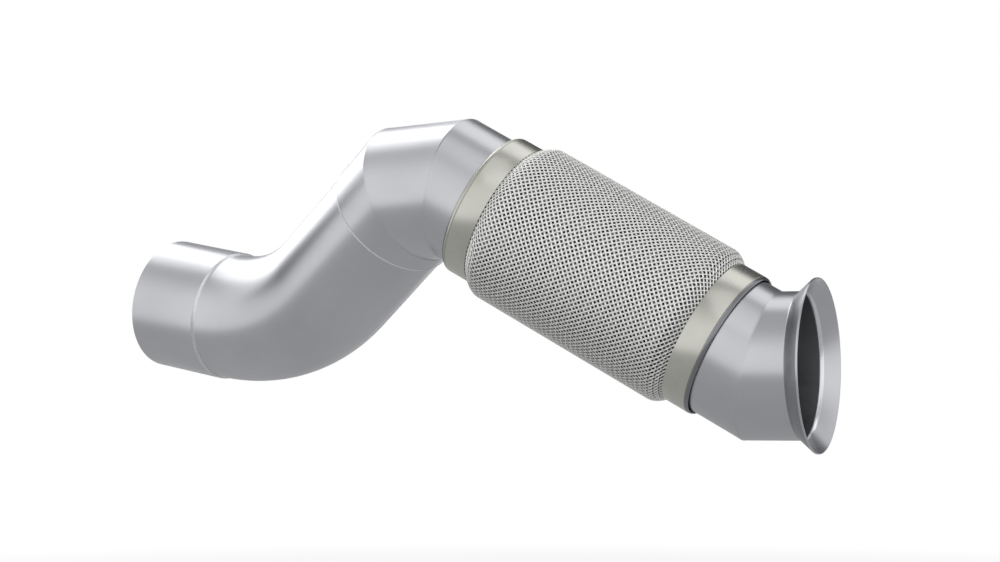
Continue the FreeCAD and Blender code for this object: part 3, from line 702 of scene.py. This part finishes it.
def dress_inner_pieces():
    """Inner pieces keep the CAD's own mesh and get their finish here."""
    # The rolled strips are painted dark as painted shade under the braid, the bellows less dark than the
    # rest.
    skins = {
        "adapter_weld": weld_bead("weld_adapter", FLEX),
        "upper_flex_weld": weld_bead("weld_upper_flex", FLEX),
        "lower_flex_weld": weld_bead("weld_lower_flex", FLEX),
        "adapter_ring": rolled_strip("turned_ring", FLEX),
        "bellows": rolled_strip("rolled_bellows_strip", FLEX, "#8B8A8C", "#79787A"),
        "interlock_liner": rolled_strip("wound_liner_strip", FLEX),
    }
    for node, skin in skins.items():
        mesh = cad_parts[node].data
        mesh.materials.clear()
        mesh.materials.append(skin)


# Stage, in metres and watts

FLOOR = -0.24
FLOOR_HALF = 6.0
UNDER_PART = (-0.35, 0, FLOOR)
SHADE_FROM = 1.0
SHADE_TO = 1.35
SHADOW_SHARE = 0.85
SHADED_TONE = 0.45
OVERHEAD_TONE = 0.45

CARD_AIM = Vector((-0.1, 0, 0))
# Where each card's middle is, its width and height, and its tone
CARDS = {
    "left_flag": ((-1.7, 0.13, 0.1), (0.62, 0.64), "#7C7C7E"),
    "far_flag": ((-1.7, 0.5, 0.1), (0.26, 0.56), "#7C7C7E"),
    "rim_flag": ((-0.04, 1.1, 0.4), (1.07, 1.3), "#7C7C7E"),
    "side_flag": ((-1.1, 1.1, 0.42), (0.36, 0.86), "#D0D0D2"),
    "low_flag": ((-1.25, 1.1, -0.07), (1.4, 0.34), "#747476"),
}
# Where each lamp is, what it aims at, its width and height, and its power
LAMPS = {
    "left_window": ((-2.08, 0.99, 1.2), (-0.5, 0, 0), (1.6, 2.3), 14),
    "top_strip": ((-0.3, 0.74, 1.87), (-0.3, 0, 0), (3.0, 1.1), 7.4),
    "front_fill": ((0.35, -1.2, 2.15), (-0.2, 0, 0), (1.4, 2.0), 4),
}


def seen_rays(tree):
    """Share that is 1 for rays of the camera, of reflections and through glass, and the camera's alone."""
    path = add(tree, "LightPath")
    camera = path.outputs["Is Camera Ray"]
    mirrored = add(tree, "Math", {"operation": "MAXIMUM"}, {0: camera, 1: path.outputs["Is Glossy Ray"]})
    seen = add(tree, "Math", {"operation": "MAXIMUM"},
               {0: mirrored.outputs[0], 1: path.outputs["Is Transmission Ray"]})
    return seen.outputs[0], camera


def pale_floor():
    """Pale matte floor, which the camera sees as white with a share of the shadow.

    Reflections see it darker round the part, as the top of a real studio table is shaded there.
    """
    material, tree = new_material("pale_floor")
    seen, camera = seen_rays(tree)
    spot = add(tree, "TexCoord")
    centred = add(tree, "Mapping", {"vector_type": "TEXTURE", "Location": UNDER_PART},
                  {"Vector": spot.outputs["Object"]})
    distance = add(tree, "VectorMath", {"operation": "LENGTH"}, {0: centred.outputs[0]})
    shade = {"interpolation_type": "SMOOTHSTEP", "From Min": SHADE_FROM, "From Max": SHADE_TO}
    far = add(tree, "MapRange", {**shade, "To Min": SHADOW_SHARE, "To Max": 1.0},
              {"Value": distance.outputs["Value"]})
    white_share = add(tree, "Math", {"operation": "MULTIPLY"}, {0: seen, 1: far.outputs[0]})
    tone = add(tree, "MapRange", {**shade, "To Min": SHADED_TONE, "To Max": 1.0},
               {"Value": distance.outputs["Value"]})
    level = add(tree, "Math", {"operation": "MAXIMUM"}, {0: tone.outputs[0], 1: camera})
    matte = add(tree, "BsdfDiffuse", {"Color": colour("#E6E6E6")})
    white = add(tree, "Emission", {"Color": (1, 1, 1, 1)}, {"Strength": level.outputs[0]})
    mixed = add(tree, "MixShader", {}, {0: white_share.outputs[0], 1: matte.outputs[0], 2: white.outputs[0]})
    add(tree, "OutputMaterial", {}, {"Surface": mixed.outputs[0]})
    return material


def matte_card(name, tone):
    material, tree = new_material(name + "_felt")
    felt = add(tree, "BsdfDiffuse", {"Color": colour(tone)})
    add(tree, "OutputMaterial", {}, {"Surface": felt.outputs[0]})
    return material


def make_floor():
    form = bmesh.new()
    bmesh.ops.create_grid(form, x_segments=2, y_segments=2, size=FLOOR_HALF)
    bmesh.ops.translate(form, verts=form.verts, vec=(0, 0, FLOOR))
    mesh = bpy.data.meshes.new("floor")
    form.to_mesh(mesh)
    form.free()
    mesh.materials.append(pale_floor())
    link(mesh)


def make_card(name, spot, size, tone):
    """Grey card beside the part that only reflections see, as a photographer sets it for metal."""
    form = bmesh.new()
    bmesh.ops.create_grid(form, x_segments=1, y_segments=1, size=0.5)
    bmesh.ops.scale(form, verts=form.verts, vec=(*size, 1))
    turn = (Vector(spot) - CARD_AIM).to_track_quat("Z", "Y").to_matrix().to_4x4()
    bmesh.ops.transform(form, matrix=Matrix.Translation(spot) @ turn, verts=form.verts)
    mesh = bpy.data.meshes.new(name)
    form.to_mesh(mesh)
    form.free()
    mesh.materials.append(matte_card(name, tone))
    card = link(mesh)
    card.visible_camera = False
    card.visible_diffuse = False
    card.visible_shadow = False


def make_world():
    """Studio room: white and dimmer overhead where it is seen, and a soft even light for the rest."""
    world = bpy.data.worlds.new("studio")
    bpy.context.scene.world = world
    world.use_nodes = True
    tree = world.node_tree
    tree.nodes.clear()
    seen, _ = seen_rays(tree)
    way = add(tree, "TexCoord")
    height = add(tree, "SeparateXYZ", {}, {0: way.outputs["Generated"]})
    level = add(tree, "MapRange", {
        "interpolation_type": "SMOOTHSTEP", "From Min": 0.35, "From Max": 0.95,
        "To Min": 1.0, "To Max": OVERHEAD_TONE}, {"Value": height.outputs["Z"]})
    soft = add(tree, "Background", {"Color": colour("#DDDFE2"), "Strength": 0.55})
    white = add(tree, "Background", {"Color": (1, 1, 1, 1)}, {"Strength": level.outputs[0]})
    mixed = add(tree, "MixShader", {}, {0: seen, 1: soft.outputs[0], 2: white.outputs[0]})
    add(tree, "OutputWorld", {}, {"Surface": mixed.outputs[0]})


def make_lamp(name, spot, target, size, power):
    lamp = bpy.data.lights.new(name, "AREA")
    lamp.shape = "RECTANGLE"
    lamp.size, lamp.size_y = size
    lamp.energy = power
    holder = bpy.data.objects.new(name, lamp)
    direction = Vector(target) - Vector(spot)
    holder.rotation_euler = direction.to_track_quat("-Z", "Y").to_euler()
    holder.location = spot
    holder.visible_camera = False
    bpy.context.scene.collection.objects.link(holder)


# Camera, as fitted to the outlines in the photograph

LENS = 100.375
SENSOR = 36.0
CAMERA_AT = (0.59045, -2.31994, -0.00038)
CAMERA_RIGHT = Vector((0.9347, 0.3554, -0.0038))
CAMERA_BACK = Vector((0.3551, -0.9343, -0.0310))


def make_camera():
    data = bpy.data.cameras.new("camera")
    data.sensor_fit = "HORIZONTAL"
    data.sensor_width = SENSOR
    data.lens = LENS
    data.clip_end = 50.0
    camera = bpy.data.objects.new("camera", data)
    back = CAMERA_BACK.normalized()
    up = back.cross(CAMERA_RIGHT).normalized()
    right = up.cross(back)
    turn = Matrix((right, up, back)).transposed()
    camera.matrix_world = Matrix.Translation(CAMERA_AT) @ turn.to_4x4()
    bpy.context.scene.collection.objects.link(camera)
    bpy.context.scene.camera = camera


make_camera()
make_world()
make_floor()
for card, (spot, size, tone) in CARDS.items():
    make_card(card, spot, size, tone)
for lamp, (spot, target, size, power) in LAMPS.items():
    make_lamp(lamp, spot, target, size, power)
bpy.context.scene.view_settings.view_transform = "Standard"

make_tubes()
make_bend()
make_flare()
make_beads()
# The lip tones are painted shade: the upper lip a little darker than its ring, the lower lip much darker.
make_collar("upper_collar", SLEEVE_R, BRAID_FROM, FLEX_START, -1, 84.0, ("#C4C4BC", "#BCBCB4"))
make_collar("lower_collar", OUTLET_R, BRAID_TO, FLEX_END, 1, 40.0, ("#909195", "#87888C"))
wire = drawn_wire("drawn_stainless_wire")
make_braid_half("braid_strands_right", 1, wire)
make_braid_half("braid_strands_left", -1, wire)
dress_inner_pieces()
